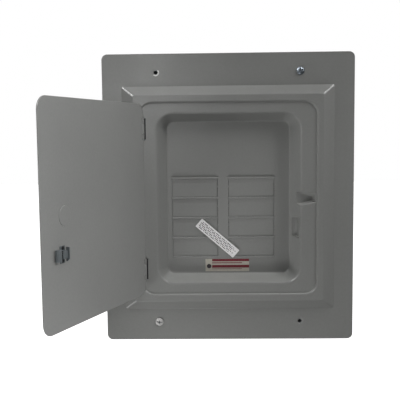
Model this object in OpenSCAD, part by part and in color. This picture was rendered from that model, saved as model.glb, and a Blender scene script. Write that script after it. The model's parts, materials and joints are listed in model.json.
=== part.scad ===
// Load centre subpanel: a steel box with its bus interior, closed by a stamped trim cover that
// carries two columns of breaker twist-outs and a hinged door with a spring latch.
// Millimetres. The origin is the centre of the box's back face, +Z is up, the front faces -Y.

/* [Box] */
// Width of the box
box_w = 280; // [270:1:290]
// Height of the box
box_h = 330; // [326:1:340]
// Depth of the box from its back face to its front lips
box_d = 95; // [90:1:120]
// Thickness of the box's sheet steel
box_t = 1.2; // [1:0.1:1.6]
// Width of the lips that turn inward at the box's front
lip_w = 14; // [12:1:16]

/* [Trim cover] */
// Width of the cover's flat flange
cover_w = 313; // [306:1:324]
// Height of the cover's flat flange
cover_h = 361; // [352:1:372]
// Corner radius of the flange
cover_r = 7; // [5:1:12]
// Thickness of the cover and door steel
sheet_t = 1.2; // [1:0.1:1.4]
// Width of the raised bezel at its foot
bezel_w = 264.6; // [262:0.2:266]
// Height of the raised bezel at its foot
bezel_h = 281; // [279:0.5:284]
// Width of the bezel's slope down its sides
bevel_w = 14.5; // [12:0.1:15]
// Width of the bezel's slope along its top and bottom
bevel_h = 11.8; // [10:0.1:13]
// How far the bezel's flat top stands in front of the flange
bezel_rise = 9; // [7:0.5:11]
// Distance between cover screws across the cover
screw_dx = 179; // [170:1:190]
// Distance between cover screws up the cover
screw_dz = 315; // [313:1:316]

/* [Door seat and pan] */
// Width of the recess that the door lies in
seat_w = 219.6; // [218:0.1:221]
// Height of the recess that the door lies in
seat_h = 240; // [239:0.5:243]
// Corner radius of the door recess
seat_r = 16; // [14:1:18]
// Depth of the door recess below the bezel's top
seat_step = 2.5; // [2.4:0.1:3]
// Width of the pan at its rim
pan_w = 178; // [176:1:182]
// Height of the pan at its rim
pan_h = 214; // [208:1:217]
// Corner radius of the pan at its rim
pan_r = 20; // [18:1:24]
// Horizontal width of the pan's sloping wall
pan_slope = 11; // [9:0.5:12]
// Depth of the pan's floor behind the front of the flange
pan_depth = 12.9; // [11:0.1:15]

/* [Twist-outs] */
// Breaker pitch, the height of one twist-out row
pitch = 25.4; // [25.4]
// Number of rows
rows = 4; // [4]
// Width of one twist-out
blank_w = 58.4; // [54:0.2:59]
// Width of the web between the two columns
web_w = 13.4; // [12:0.2:18]
// Height of the web between rows
row_web = 2.2; // [1.6:0.1:3]
// Sideways place of the twist-outs' centre line
array_x = -6.9; // [-8:0.1:-5]
// Height of the top edge of the highest row
array_top = 25; // [20:1:30]
// How far a twist-out is set back from the pan's floor
blank_set = 0.9; // [0.6:0.1:1]

/* [Door] */
// Opening angle of the door at rest
door_open = 112; // [0:1:130]
// Height of the door
door_h = 237.5; // [235:0.5:238]
// Corner radius of the door
door_r = 14; // [10:1:16]
// Distance from the hinge axis to the door's free edge
door_w = 213.9; // [212:0.1:214]
// Diameter of the knock-out for a lock
lock_d = 21; // [16:1:22]

/* [Latch] */
// Height of the latch's centre
latch_z = -40; // [-45:1:-34]
// Travel of the latch's sliding bolt
latch_travel = 3; // [2:0.5:3]

/* [Hidden] */
$fn = 64;

// a small overlap that joins pieces of one sheet, and an overshoot for cuts
lap = 0.3;
over = 1;

// y of a plane that lies "depth" behind the front of the cover's flange
function front(depth) = -box_d - sheet_t + depth;
seat_depth = -bezel_rise + seat_step;

// hinge: knuckles centred on the door's sheet, with the pin fixed in the cover's leaf
hinge_inset = 4.2;
hinge_x = -seat_w / 2 + hinge_inset;
door_gap = 0.9;
hinge_y = front(seat_depth) - door_gap - sheet_t / 2;
hinge_z = 88;
hinge_len = 26;
knuckle_len = 12;
knuckle_r = 1.9;
pin_r = 0.8;
pin_clear = 0.06;
knuckle_gap = 0.4;

// cover screws, size 10
screw_r = 2.4;
screw_head_r = 5;

blank_h = pitch - row_web;
column_dx = (blank_w + web_w) / 2;
paint = [0.45, 0.46, 0.45];
zinc = [0.72, 0.74, 0.76];
galvanised = [0.62, 0.65, 0.68];
tin = [0.8, 0.8, 0.78];
aluminium = [0.75, 0.76, 0.78];

// ---- shared shapes ----

// lays a flat outline in the XZ plane, from "depth" behind the flange's front to depth + t
module slab(depth, t)
    translate([0, front(depth) + t, 0])
    rotate([90, 0, 0])
    linear_extrude(t)
    children();

module rounded_rect(w, h, r) {
    square([w - 2 * r, h], center = true);
    square([w, h - 2 * r], center = true);
    for (sx = [-1, 1], sz = [-1, 1])
        translate([sx * (w / 2 - r), sz * (h / 2 - r)])
        circle(r);
}

// a block from depth d1, where it is w1 wide, to depth d2, where it is w2 wide, and "h" high
module taper_x(w1, w2, h, d1, d2)
    translate([0, 0, -h / 2])
    linear_extrude(h)
    polygon([
        [-w1 / 2, front(d1)], [w1 / 2, front(d1)], [w2 / 2, front(d2)], [-w2 / 2, front(d2)]
    ]);

// the same with its slope on the top and bottom sides
module taper_z(w, h1, h2, d1, d2)
    rotate([0, 90, 0])
    translate([0, 0, -w / 2])
    linear_extrude(w)
    polygon([
        [-h1 / 2, front(d1)], [h1 / 2, front(d1)], [h2 / 2, front(d2)], [-h2 / 2, front(d2)]
    ]);

// a rectangular pyramid stump with mitred corners
module mitred_block(w1, h1, w2, h2, d1, d2)
    intersection() {
        taper_x(w1, w2, max(h1, h2) + 2, d1, d2);
        taper_z(max(w1, w2) + 2, h1, h2, d1, d2);
    }

// a stump with rounded corners that narrows by "slope" on every side from d1 to d2
module rounded_block(w, h, r, slope, d1, d2) {
    taper_x(w, w - 2 * slope, h - 2 * r, d1, d2);
    taper_z(w - 2 * r, h, h - 2 * slope, d1, d2);
    for (sx = [-1, 1], sz = [-1, 1])
        translate([sx * (w / 2 - r), front(d1), sz * (h / 2 - r)])
        rotate([-90, 0, 0])
        cylinder(h = d2 - d1, r1 = r, r2 = r - slope);
}

// a cylinder from (x, y, z) towards -Y
module peg(x, y, z, r, length)
    translate([x, y, z])
    rotate([90, 0, 0])
    cylinder(h = length, r = r);

// a pan-head machine screw whose seat is at y and whose shank runs into the wall
module wall_screw(x, y, z, shank_r, shank_l, head_r, head_h) {
    difference() {
        union() {
            peg(x, y, z, head_r, head_h * 0.55);
            peg(x, y - head_h * 0.5, z, head_r * 0.72, head_h * 0.5);
        }
        for (a = [0, 90])
            translate([x, y - head_h, z])
            rotate([0, a, 0])
            cube([head_r * 0.9, head_h * 0.7, 0.9], center = true);
    }
    peg(x, y + shank_l, z, shank_r, shank_l + lap);
}

// ---- box ----

knock_r = [11.1, 14.3, 17.3];
knock_x = [-62, -18, 34];
knock_y = -48;
side_knock_z = -90;
side_hole_z = 110;
side_hole_y = -30;
side_hole_r = 2.6;
rear_hole_dx = 200;
rear_hole_dz = 254;
rear_hole_r = 3.5;
foot_x = 77;
foot_z = 85;
foot_screw_r = 2;
bar_screw_z = 60;
neutral_x = 112;
ground_x = -112;

module box_wrapper() color(galvanised)
    difference() {
        union() {
            translate([-box_w / 2, -box_t, -box_h / 2])
            cube([box_w, box_t, box_h]);
            for (s = [-1, 1]) {
                translate([s * (box_w - box_t) / 2 - box_t / 2, -box_d, -box_h / 2])
                cube([box_t, box_d, box_h]);
                translate([s * (box_w - lip_w) / 2 - lip_w / 2, -box_d, -box_h / 2 + lip_w + lap])
                cube([lip_w, box_t, box_h - 2 * (lip_w + lap)]);
            }
        }
        for (sx = [-1, 1], sz = [-1, 1]) {
            peg(sx * rear_hole_dx / 2, over, sz * rear_hole_dz / 2, rear_hole_r, box_t + 2 * over);
            peg(sx * foot_x, over, sz * foot_z, foot_screw_r, box_t + 2 * over);
        }
        for (x = [neutral_x, ground_x], sz = [-1, 1])
            peg(x, over, sz * bar_screw_z, foot_screw_r, box_t + 2 * over);
        for (s = [-1, 1]) {
            for (sz = [-1, 1])
                translate([s * box_w / 2, side_hole_y, sz * side_hole_z])
                rotate([0, 90, 0])
                cylinder(h = 4, r = side_hole_r, center = true);
            translate([s * box_w / 2, knock_y, side_knock_z])
            rotate([0, 90, 0])
            cylinder(h = 4, r = knock_r[0], center = true);
        }
    }

// one end wall with its front lip, for the top (s = 1) or the bottom (s = -1)
module box_end(s)
    difference() {
        union() {
            translate([-box_w / 2 + box_t, -box_d, s * (box_h - box_t) / 2 - box_t / 2])
            cube([box_w - 2 * box_t, box_d - box_t, box_t]);
            translate([-box_w / 2 + box_t, -box_d, s * (box_h - lip_w) / 2 - lip_w / 2])
            cube([box_w - 2 * box_t, box_t, lip_w]);
        }
        for (i = [0 : 2])
            translate([knock_x[i], knock_y, s * box_h / 2])
            cylinder(h = 4, r = knock_r[i], center = true);
        for (sx = [-1, 1])
            peg(sx * screw_dx / 2, -box_d + 2, s * screw_dz / 2, screw_r, 4);
    }

module box_top_end() color(galvanised) box_end(1);
module box_bottom_end() color(galvanised) box_end(-1);

// a half-sheared disc that closes a conduit hole, tied to the rim at two points
module knockout_disc(r) {
    cylinder(h = box_t, r = r - 0.2, center = true);
    for (a = [0, 180])
        rotate([0, 0, a])
        translate([r - 1, -1.5, -box_t / 2])
        cube([0.94, 3, box_t]);
}

// the discs of one end wall, set a little inward
module end_knockouts(s)
    for (i = [0 : 2])
        translate([knock_x[i], knock_y, s * (box_h / 2 - box_t)])
        knockout_disc(knock_r[i]);

module top_knockouts() color(galvanised) end_knockouts(1);
module bottom_knockouts() color(galvanised) end_knockouts(-1);

module side_knockouts() color(galvanised)
    for (s = [-1, 1])
        translate([s * (box_w / 2 - box_t), knock_y, side_knock_z])
        rotate([0, 90, 0])
        knockout_disc(knock_r[0]);

// ---- bus interior ----

pan_plate_y = -20;
pan_plate_t = 1.5;
pan_plate_w = 140;
pan_plate_h = 220;
insulator_y = pan_plate_y - pan_plate_t;
insulator_d = 18;
bus_y = insulator_y - insulator_d;
bus_t = 3;
bus_strap_w = 12;
bus_dx = 14;
bus_bottom = array_top - rows * pitch - 2;
bus_top = 78;
stab_w = 40;
stab_t = 2;
stab_lift = 6;
stab_d = 14;
lug_w = 20;
lug_h = 26;
lug_z = 64;
lug_bore_r = 5.5;
rail_dx = 62;

// height of the middle of twist-out row "i", counted from the top
function row_z(i) = array_top - pitch * (i + 0.5);

module interior_pan() color(zinc)
    difference() {
        union() {
            translate([-pan_plate_w / 2, insulator_y, -pan_plate_h / 2])
            cube([pan_plate_w, pan_plate_t, pan_plate_h]);
            for (s = [-1, 1]) {
                translate([s * (pan_plate_w - pan_plate_t) / 2 - pan_plate_t / 2, insulator_y, -pan_plate_h / 2])
                cube([pan_plate_t, -insulator_y - box_t, pan_plate_h]);
                translate([s * (pan_plate_w / 2 + 6) - 8, -box_t - pan_plate_t, -pan_plate_h / 2])
                cube([16, pan_plate_t, pan_plate_h]);
            }
        }
        for (sx = [-1, 1], sz = [-1, 1])
            peg(sx * foot_x, over, sz * foot_z, foot_screw_r, 5);
        for (z = [-40, 40])
            peg(array_x, over, z, 1.6, 40);
    }

module interior_screws() color(zinc)
    for (sx = [-1, 1], sz = [-1, 1])
        wall_screw(sx * foot_x, -box_t - pan_plate_t, sz * foot_z, foot_screw_r - 0.05, box_t + pan_plate_t, 3.8, 2.4);

// the rail that a breaker's foot hooks on, s = -1 for the left one
module hook_rail(s)
    translate([array_x + s * rail_dx, 0, 0])
    union() {
        translate([-0.75, insulator_y - 26, bus_bottom])
        cube([1.5, 26, rows * pitch + 4]);
        translate([min(0.75 * s, -6 * s), insulator_y - 26, bus_bottom])
        cube([6.75, 1.5, rows * pitch + 4]);
    }

module left_hook_rail() color(zinc) hook_rail(-1);
module right_hook_rail() color(zinc) hook_rail(1);

// moulded base with a rib between the bus straps
module bus_insulator() color([0.12, 0.12, 0.13])
    difference() {
        union() {
            translate([array_x - 42, bus_y, bus_bottom - 6])
            cube([84, insulator_d, bus_top - bus_bottom + 10]);
            translate([array_x - 2, bus_y - 4, bus_bottom])
            cube([4, 4.5, rows * pitch]);
        }
        for (z = [-40, 40])
            peg(array_x, over, z, 1.6, 80);
        for (s = [-1, 1], z = [bus_bottom + 3, 52])
            peg(array_x + s * bus_dx, bus_y + 8, z, 1.6, 20);
    }

// one hot strap with plug-on blades for every second row, s = -1 for the left one
module bus_bar(s, first_row)
    difference() {
        union() {
            translate([array_x + s * bus_dx - bus_strap_w / 2, bus_y - bus_t, bus_bottom])
            cube([bus_strap_w, bus_t, bus_top - bus_bottom]);
            for (i = [first_row : 2 : rows - 1])
                translate([array_x, bus_y - bus_t, row_z(i) - stab_t / 2]) {
                    translate([s * bus_dx - bus_strap_w / 2, -stab_lift - stab_d, 0])
                    cube([bus_strap_w, stab_lift + stab_d + lap, stab_t]);
                    translate([-stab_w / 2, -stab_lift - stab_d, 0])
                    cube([stab_w, stab_d, stab_t]);
                }
        }
        for (z = [bus_bottom + 3, 52])
            peg(array_x + s * bus_dx, bus_y + over, z, 1.6, 10);
    }

module left_bus_bar() color(tin) bus_bar(-1, 0);
module right_bus_bar() color(tin) bus_bar(1, 1);

module bus_bar_screws() color(zinc)
    for (s = [-1, 1], z = [bus_bottom + 3, 52])
        wall_screw(array_x + s * bus_dx, bus_y - bus_t, z, 1.55, bus_t + 7, 3, 2);

// a lug block on top of its strap, bored upward for the line conductor
lug_block_y = bus_y - bus_t;
lug_bore_y = lug_block_y - 8;
lug_shift = 8;
module line_lug(s)
    difference() {
        translate([array_x + s * (bus_dx + lug_shift) - lug_w / 2, lug_block_y - 22, lug_z])
        cube([lug_w, 22, lug_h]);
        translate([array_x + s * (bus_dx + lug_shift), lug_bore_y, lug_z - over])
        cylinder(h = lug_h + 2 * over, r = lug_bore_r);
        peg(array_x + s * (bus_dx + lug_shift), lug_bore_y, lug_z + lug_h / 2, 4, 30);
    }

module left_line_lug() color(aluminium) line_lug(-1);
module right_line_lug() color(aluminium) line_lug(1);

module line_lug_screws() color(zinc)
    for (s = [-1, 1])
        difference() {
            peg(array_x + s * (bus_dx + lug_shift), lug_bore_y - lug_bore_r - 0.5, lug_z + lug_h / 2, 4, 10);
            peg(array_x + s * (bus_dx + lug_shift), lug_bore_y - lug_bore_r - 5, lug_z + lug_h / 2, 2.2, 10);
        }

// a terminal bar with screws from the front and wire holes from one side
bar_w = 10;
bar_d = 11;
bar_len = 140;
wire_n = 12;
bar_pitch = 9;
standoff_d = 14;
function wire_z(i) = (i - (wire_n - 1) / 2) * bar_pitch;

module terminal_bar(x, y, s)
    difference() {
        translate([x - bar_w / 2, y - bar_d, -bar_len / 2])
        cube([bar_w, bar_d, bar_len]);
        for (i = [0 : wire_n - 1]) {
            translate([x - s * (bar_w / 2 + over), y - 4.5, wire_z(i)])
            rotate([0, s * 90, 0])
            cylinder(h = bar_w - 1 + over, r = 2.3, $fn = 32);
            peg(x, y - 4.5, wire_z(i), 1.8, 10, $fn = 32);
        }
        for (sz = [-1, 1])
            peg(x, y + over, sz * bar_screw_z, foot_screw_r, 20);
    }

module bar_screws(x, y) {
    for (i = [0 : wire_n - 1])
        wall_screw(x, y - bar_d, wire_z(i), 1.75, 3.5, 2.7, 1.8);
    for (sz = [-1, 1])
        wall_screw(x, y - bar_d, sz * bar_screw_z, foot_screw_r - 0.05, bar_d - y, 3.2, 2);
}

neutral_y = -box_t - standoff_d;
ground_y = -box_t - 6;

module neutral_bar() color(aluminium) terminal_bar(neutral_x, neutral_y, -1);
module neutral_bar_screws() color(zinc) bar_screws(neutral_x, neutral_y);

module neutral_bar_standoffs() color([0.9, 0.9, 0.88])
    for (sz = [-1, 1])
        difference() {
            peg(neutral_x, -box_t, sz * bar_screw_z, 6, standoff_d);
            peg(neutral_x, 0, sz * bar_screw_z, foot_screw_r, standoff_d + 2);
        }

// the screw that ties the neutral bar to the box
module bonding_screw() color([0.1, 0.45, 0.2])
    translate([neutral_x + bar_w / 2 + 3, 0, 0])
    difference() {
        union() {
            peg(0, -box_t, 0, 2.4, standoff_d + bar_d);
            peg(0, -box_t - standoff_d - bar_d, 0, 4.5, 3);
        }
        translate([0, -box_t - standoff_d - bar_d - 3, 0])
        cube([10, 2, 1], center = true);
    }

// the ground bar stands on two pressed spacers of its own
module ground_bar() color(aluminium) {
    terminal_bar(ground_x, ground_y, 1);
    for (sz = [-1, 1])
        difference() {
            peg(ground_x, -box_t, sz * bar_screw_z, 4.5, 6 + lap);
            peg(ground_x, 0, sz * bar_screw_z, foot_screw_r, 10);
        }
}

module ground_bar_screws() color(zinc) bar_screws(ground_x, ground_y);

// ---- trim cover ----

pocket_z1 = 10.7;
pocket_z2 = -8.5;
pocket_end_z1 = 5;
pocket_end_z2 = -4.5;
pocket_x2 = 107.5;
pocket_depth = 1.5;
strike_d1 = -4.6;
strike_d2 = 9;
strike_x2 = 88.5;
strike_z = -37;
strike_h = 28;
cover_hole_r = 2.75;

module pan_cavity()
    rounded_block(
        pan_w + 2 * pan_slope * over / (pan_depth - seat_depth),
        pan_h + 2 * pan_slope * over / (pan_depth - seat_depth),
        pan_r + pan_slope * over / (pan_depth - seat_depth),
        pan_slope * (1 + over / (pan_depth - seat_depth)),
        seat_depth - over, pan_depth
    );

module bezel_block(shift)
    translate([0, shift, 0]) {
        mitred_block(bezel_w, bezel_h, bezel_w - 2 * bevel_w, bezel_h - 2 * bevel_h, 0, -bezel_rise);
        slab(-0.01, sheet_t / 2)
        square([bezel_w, bezel_h], center = true);
    }

// outline of the lock pocket, from inside the pan to its narrow end
module pocket_outline(grow)
    polygon([
        [pan_w / 2 - 6, pocket_z2 - grow], [pan_w / 2 + 3, pocket_z2 - grow],
        [pocket_x2 + grow, pocket_end_z2 - grow], [pocket_x2 + grow, pocket_end_z1 + grow],
        [pan_w / 2 - 6, pocket_z1 + grow]
    ]);

// outline of the pressed recess in the pan's wall that takes the latch bolt's nose
module strike_outline(grow)
    translate([pan_w / 2 - pan_slope - 1, strike_z - strike_h / 2 - grow])
    square([strike_x2 - pan_w / 2 + pan_slope + 1 + grow, strike_h + 2 * grow]);

module twistout_windows()
    slab(pan_depth - over, 2 * over + sheet_t)
    for (s = [-1, 1], i = [0 : rows - 1])
        translate([array_x + s * column_dx, row_z(i)])
        square([blank_w, blank_h], center = true);

module cover_trim() color(paint)
    difference() {
        union() {
            slab(0, sheet_t)
            difference() {
                rounded_rect(cover_w, cover_h, cover_r);
                square([bezel_w - 2, bezel_h - 2], center = true);
            }
            difference() {
                bezel_block(0);
                bezel_block(sheet_t);
                slab(-bezel_rise - over, 2 * bezel_rise)
                rounded_rect(seat_w, seat_h, seat_r);
            }
            slab(-bezel_rise, seat_step + sheet_t)
            rounded_rect(seat_w + 2 * sheet_t, seat_h + 2 * sheet_t, seat_r + sheet_t);
            rounded_block(
                pan_w + 2 * sheet_t, pan_h + 2 * sheet_t, pan_r + sheet_t, pan_slope,
                seat_depth + lap, pan_depth + sheet_t
            );
            slab(seat_depth + lap, pocket_depth - seat_depth)
            pocket_outline(sheet_t);
            slab(seat_depth + lap, strike_d2 + sheet_t - seat_depth - lap)
            strike_outline(sheet_t);
        }
        slab(-bezel_rise - over, seat_step + over)
        rounded_rect(seat_w, seat_h, seat_r);
        pan_cavity();
        slab(seat_depth - over, over + pocket_depth - seat_depth - sheet_t + lap)
        pocket_outline(0);
        twistout_windows();
        for (sz = [-1, 1])
            translate([hinge_x - 3, front(seat_depth) - 2, sz * hinge_z - hinge_len / 2 - 1])
            cube([6.4, 6, hinge_len + 2]);
        slab(strike_d1, strike_d2 - strike_d1)
        strike_outline(0);
        for (sx = [-1, 1], sz = [-1, 1])
            peg(sx * screw_dx / 2, -box_d + 2, sz * screw_dz / 2, cover_hole_r, 5);
    }

// two of the four cover screws are fitted: top right and bottom left
module cover_screws() color(zinc)
    for (s = [-1, 1])
        wall_screw(s * screw_dx / 2, front(0), s * screw_dz / 2, screw_r - 0.05, 11, screw_head_r, 3);

// a half-sheared blank held in its window by four small ties
module twistout(s, i)
    slab(pan_depth + blank_set, sheet_t)
    translate([array_x + s * column_dx, row_z(i)]) {
        square([blank_w - 0.3, blank_h - 0.3], center = true);
        for (sx = [-1, 1], sz = [-1, 1])
            translate([sx * (blank_w / 2 - 0.5), sz * blank_h / 4])
            square([1, 2.5], center = true);
    }

// ---- labels ----

label_t = 0.2;

module caution_label() color([0.75, 0.12, 0.12])
    slab(pan_depth - label_t, label_t)
    translate([-2.1, -86.6])
    square([56, 16], center = true);

module loose_sticker() color([0.95, 0.95, 0.95])
    slab(pan_depth - label_t, label_t)
    translate([-14.5, -52])
    rotate(-41)
    square([63, 13], center = true);

// ---- hinges ----

// the cover's leaf of one hinge: two knuckles, a web through the slot and a flat behind the seat
module hinge_leaf(z) {
    end_len = (hinge_len - knuckle_len) / 2 - knuckle_gap;
    leaf_y = front(seat_depth) + sheet_t;
    for (s = [-1, 1]) {
        z0 = z + s * (hinge_len / 2 - end_len / 2) - end_len / 2;
        difference() {
            union() {
                translate([hinge_x, hinge_y, z0])
                cylinder(h = end_len, r = knuckle_r);
                translate([hinge_x - knuckle_r, hinge_y, z0])
                cube([0.8, leaf_y - hinge_y + 0.8, end_len]);
            }
            translate([hinge_x, hinge_y, z0 - over])
            cylinder(h = end_len + 2 * over, r = pin_r);
        }
    }
    translate([hinge_x - knuckle_r, leaf_y, z - hinge_len / 2])
    cube([15, 0.8, hinge_len]);
}

module hinge_pin(z) {
    translate([hinge_x, hinge_y, z - hinge_len / 2 - 1])
    cylinder(h = hinge_len + 1.2, r = pin_r);
    translate([hinge_x, hinge_y, z + hinge_len / 2 + 0.1])
    cylinder(h = 0.7, r = pin_r + 0.6);
}

module upper_hinge_leaf() color(zinc) hinge_leaf(hinge_z);
module lower_hinge_leaf() color(zinc) hinge_leaf(-hinge_z);
module upper_hinge_pin() color(zinc) hinge_pin(hinge_z);
module lower_hinge_pin() color(zinc) hinge_pin(-hinge_z);

// ---- door ----

// puts a piece drawn for the closed door, with the hinge axis as its origin, at its rest angle
module door_pose()
    translate([hinge_x, hinge_y, 0])
    rotate([0, 0, -door_open])
    children();

lock_u = 173;
lock_z = -1.5;
tab_slot_u = 171.8;
rivet_u = 179.6;
rivet_dz = 6.6;
rivet_r = 1.2;
rivet_hole_r = 1.26;

// lays a flat outline on the door's plane, from v to v + t towards the wall when closed
module door_slab(v, t)
    translate([0, v + t, 0])
    rotate([90, 0, 0])
    linear_extrude(t)
    children();

module door_panel() color(paint)
    door_pose()
    difference() {
        union() {
            door_slab(-sheet_t / 2, sheet_t)
            difference() {
                translate([door_w / 2, 0])
                rounded_rect(door_w, door_h, door_r);
                for (s = [-1, 1])
                    translate([-over, s * hinge_z - hinge_len / 2 - 1])
                    square([3.4 + over, hinge_len + 2]);
                translate([lock_u, lock_z])
                circle(d = lock_d);
                translate([tab_slot_u - 2.5 - latch_travel, latch_z - 3])
                square([5 + latch_travel, 6]);
                for (s = [-1, 1])
                    translate([rivet_u, latch_z + s * rivet_dz])
                    circle(rivet_hole_r);
            }
            for (s = [-1, 1]) {
                translate([0, -sheet_t / 2, s * hinge_z - knuckle_len / 2])
                cube([4, sheet_t, knuckle_len]);
                translate([0, 0, s * hinge_z - knuckle_len / 2])
                cylinder(h = knuckle_len, r = knuckle_r);
            }
        }
        for (s = [-1, 1])
            translate([0, 0, s * hinge_z - knuckle_len])
            cylinder(h = 2 * knuckle_len, r = pin_r + pin_clear);
    }

// the half-sheared disc that is punched out to fit a lock
module lock_knockout() color(paint)
    door_pose()
    door_slab(-sheet_t / 2 + 0.4, sheet_t)
    translate([lock_u, lock_z]) {
        circle(d = lock_d - 0.4);
        for (a = [0, 180])
            rotate(a)
            translate([lock_d / 2 - 1, -1])
            square([0.94, 2]);
    }

// ---- latch, in door coordinates: u from the hinge axis, v behind the door's middle plane ----

inner = sheet_t / 2;
housing_u1 = 175.7;
housing_u2 = 183.6;
housing_w = 8.6;
housing_d = 4.4;
housing_t = 0.8;
stem_r = 0.8;
stem_v = inner + 2;
bolt_u1 = 187;
nose_u2 = 193;
nose_w = 12;
flag_u = 174.4;

// a hat-shaped cage with a foot for a rivet above and below it
module latch_housing() color(zinc)
    door_pose()
    difference() {
        union() {
            translate([housing_u1, inner, latch_z - housing_w / 2])
            cube([housing_u2 - housing_u1, housing_d, housing_w]);
            translate([rivet_u - 2.8, inner, latch_z - rivet_dz - 2.2])
            cube([5.6, housing_t, 2 * rivet_dz + 4.4]);
        }
        translate([housing_u1 + housing_t, inner - over, latch_z - housing_w / 2 + housing_t])
        cube([30, housing_d + over - housing_t, housing_w - 2 * housing_t]);
        translate([housing_u1 - over, stem_v, latch_z])
        rotate([0, 90, 0])
        cylinder(h = 4, r = stem_r + 0.3);
        for (s = [-1, 1])
            translate([rivet_u, inner - over, latch_z + s * rivet_dz])
            rotate([-90, 0, 0])
            cylinder(h = 3, r = rivet_hole_r);
    }

// two rivets with low heads on the housing's feet and on the door's outer face
module latch_rivets() color(zinc)
    door_pose()
    for (s = [-1, 1])
        translate([rivet_u, -inner - 0.5, latch_z + s * rivet_dz])
        rotate([-90, 0, 0]) {
            cylinder(h = sheet_t + housing_t + 1, r = rivet_r);
            cylinder(h = 0.5, r = rivet_r + 0.7);
            translate([0, 0, 0.5 + sheet_t + housing_t])
            cylinder(h = 0.7, r = rivet_r + 0.7);
        }

// sliding bolt: a bevelled nose, a round stem through the spring and an upright flag
module latch_slide() color(zinc)
    door_pose() {
        translate([0, 0, latch_z - nose_w / 2])
        linear_extrude(nose_w)
        polygon([
            [bolt_u1, inner + 0.3], [nose_u2 - 1, inner + 0.3], [nose_u2, inner + 1.2],
            [nose_u2, inner + 3.6], [nose_u2 - 1.6, inner + 5.2], [bolt_u1, inner + 5.2]
        ]);
        translate([tab_slot_u - 1.2, stem_v, latch_z])
        rotate([0, 90, 0])
        cylinder(h = bolt_u1 + 1 - tab_slot_u + 1.2, r = stem_r);
        translate([flag_u, 0, latch_z])
        rotate([90, 0, 90])
        linear_extrude(1)
        polygon([
            [inner + 0.5, -7.4], [inner + 3.6, -7.4], [inner + 6, -4.6], [inner + 6, 7.2], [inner + 0.5, 7.2]
        ]);
        translate([tab_slot_u - 1.2, inner + 0.4, latch_z - 2])
        cube([2.4, stem_v - inner, 4]);
    }

// thumb tab pressed on the slide's leg, outside the door
module latch_thumb_tab() color([0.15, 0.15, 0.16])
    door_pose()
    difference() {
        union() {
            translate([tab_slot_u - 2.2, -inner - 0.4, latch_z - 2.6])
            cube([4.4, sheet_t + 0.8, 5.2]);
            translate([tab_slot_u - 6, -inner - 2.4, latch_z - 9])
            cube([11, 2, 18]);
            for (k = [-1, 0, 1])
                translate([tab_slot_u + 3 * k - 1.1, -inner - 3.2, latch_z - 8])
                cube([1.2, 1, 16]);
        }
    }

// compression spring round the stem, between the housing's end and the bolt
spring_r = 1.25;
spring_wire_r = 0.22;
spring_turns = 5;
spring_u1 = housing_u1 + housing_t + spring_wire_r + 0.05;
spring_u2 = bolt_u1 - spring_wire_r - 0.05;
spring_steps = 14;
function spring_point(k, j) =
    let (
        turn = k / spring_steps,
        a = 360 * turn,
        b = 60 * j,
        r = spring_r + spring_wire_r * cos(b)
    )
    [
        spring_u1 + (spring_u2 - spring_u1) * turn / spring_turns + spring_wire_r * sin(b),
        stem_v + r * cos(a),
        latch_z + r * sin(a)
    ];

module latch_spring() color(zinc)
    door_pose() {
        n = spring_turns * spring_steps;
        polyhedron(
            points = [for (k = [0 : n], j = [0 : 5]) spring_point(k, j)],
            faces = concat(
                [[for (j = [0 : 5]) j]],
                [for (k = [0 : n - 1], j = [0 : 5])
                    [k * 6 + j, (k + 1) * 6 + j, (k + 1) * 6 + (j + 1) % 6, k * 6 + (j + 1) % 6]],
                [[for (j = [5 : -1 : 0]) n * 6 + j]]
            ),
            convexity = 10
        );
    }

box_wrapper();
box_top_end();
box_bottom_end();
top_knockouts();
bottom_knockouts();
side_knockouts();
interior_pan();
interior_screws();
left_hook_rail();
right_hook_rail();
bus_insulator();
left_bus_bar();
right_bus_bar();
bus_bar_screws();
left_line_lug();
right_line_lug();
line_lug_screws();
neutral_bar();
neutral_bar_standoffs();
neutral_bar_screws();
bonding_screw();
ground_bar();
ground_bar_screws();
cover_trim();
cover_screws();
for (i = [0 : rows - 1]) {
    color(paint) twistout(-1, i);
    color(paint) twistout(1, i);
}
caution_label();
loose_sticker();
upper_hinge_leaf();
lower_hinge_leaf();
upper_hinge_pin();
lower_hinge_pin();
door_panel();
lock_knockout();
latch_housing();
latch_rivets();
latch_slide();
latch_thumb_tab();
latch_spring();
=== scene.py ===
import bpy, bmesh, json
from math import atan2, cos, degrees, hypot, pi, radians, sin
from mathutils import Matrix, Vector


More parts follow.
